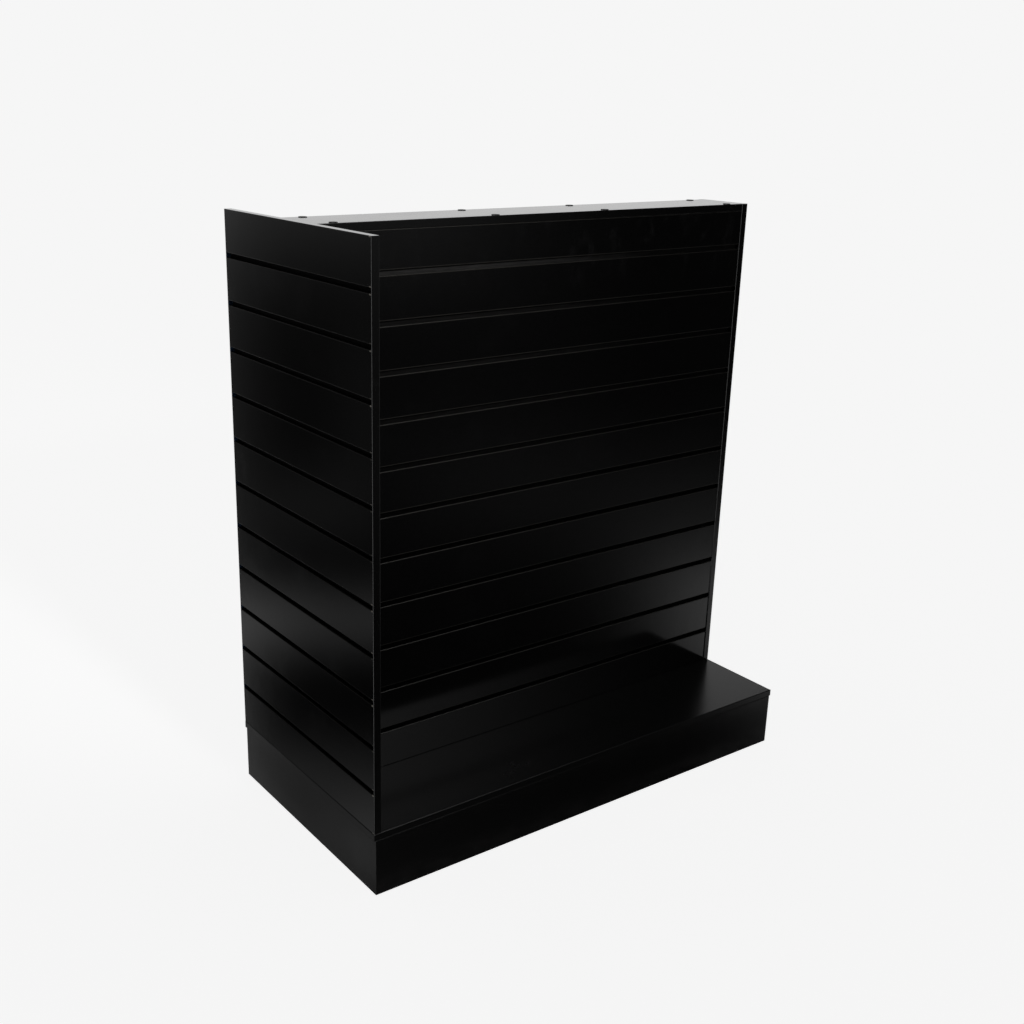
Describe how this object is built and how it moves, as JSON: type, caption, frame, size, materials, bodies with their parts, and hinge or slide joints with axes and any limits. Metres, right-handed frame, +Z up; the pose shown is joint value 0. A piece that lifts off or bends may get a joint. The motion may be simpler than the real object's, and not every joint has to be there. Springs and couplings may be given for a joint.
{
  "type": "slatwall gondola",
  "caption": "Free-standing black slatwall gondola: a low deck base carrying a hollow slatwall wall with a cap board and one full-depth slatwall end panel.",
  "frame": {"origin": "on the floor, under the middle of the base", "axes": "+X along the wall, away from the slatwall end panel; +Y to the back; +Z up"},
  "size_m": [1.202, 0.594, 1.3559],
  "materials": {
    "black_laminate": "satin black melamine facing on fibreboard",
    "edge_banding": "satin black plastic edge banding",
    "raw_board": "bare fibreboard",
    "timber": "bare hardwood",
    "zinc_steel": "zinc plated",
    "cam_metal": "die-cast zinc",
    "cover_plastic": "matt black moulded plastic"
  },
  "bodies": {
    "root": {"deck_board": "black_laminate", "front_kick_board": "black_laminate", "back_kick_board": "black_laminate", "left_kick_board": "black_laminate", "right_kick_board": "black_laminate", "left_end_panel": "black_laminate", "right_end_panel": "black_laminate", "front_wall_panel": "black_laminate", "back_wall_panel": "black_laminate", "top_cap": "black_laminate", "deck_front_band": "edge_banding", "deck_back_band": "edge_banding", "deck_left_band": "edge_banding", "deck_right_band": "edge_banding", "left_end_panel_front_band": "edge_banding", "left_end_panel_back_band": "edge_banding", "right_end_panel_front_band": "edge_banding", "right_end_panel_back_band": "edge_banding", "top_cap_front_band": "edge_banding", "top_cap_back_band": "edge_banding", "base_brace_left": "raw_board", "base_brace_right": "raw_board", "wall_floor_rail": "raw_board", "wall_top_rail": "raw_board", "wall_spacer_left": "raw_board", "wall_spacer_mid_left": "raw_board", "wall_spacer_mid_right": "raw_board", "wall_spacer_right": "raw_board", "base_corner_blocks": "timber", "brace_dowels": "timber", "panel_dowels": "timber", "deck_brackets": "zinc_steel", "bracket_screws": "zinc_steel", "corner_block_screws": "zinc_steel", "floor_rail_screws": "zinc_steel", "top_rail_screws": "zinc_steel", "end_panel_screws": "zinc_steel", "cap_screws": "zinc_steel", "cam_bolts": "zinc_steel", "cam_locks": "cam_metal", "screw_covers": "cover_plastic"}
  },
  "joints": []
}
